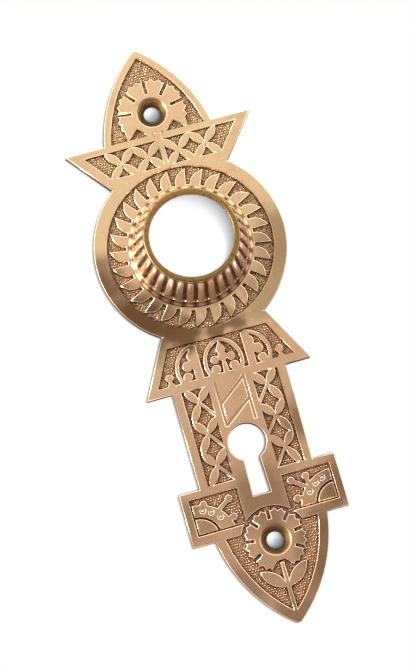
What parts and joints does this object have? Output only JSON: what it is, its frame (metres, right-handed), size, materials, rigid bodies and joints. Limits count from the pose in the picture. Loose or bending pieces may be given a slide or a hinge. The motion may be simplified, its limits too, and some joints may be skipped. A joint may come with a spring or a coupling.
{
  "type": "door backplate",
  "caption": "Flat cast door backplate with a raised fluted collar for the knob, a keyhole, countersunk screw holes and carved panels.",
  "frame": {"origin": "middle of the plate's length and width, on its flat back, which lies against the door", "axes": "+Y up the door along the plate, +X to the right across it, +Z out of the door through the knob collar"},
  "size_m": [0.0492, 0.152, 0.0153],
  "materials": {
    "bronze": "cast bronze, worn and polished on the raised parts, brown in the matted ground"
  },
  "bodies": {
    "root": {"backplate": "bronze"}
  },
  "joints": []
}
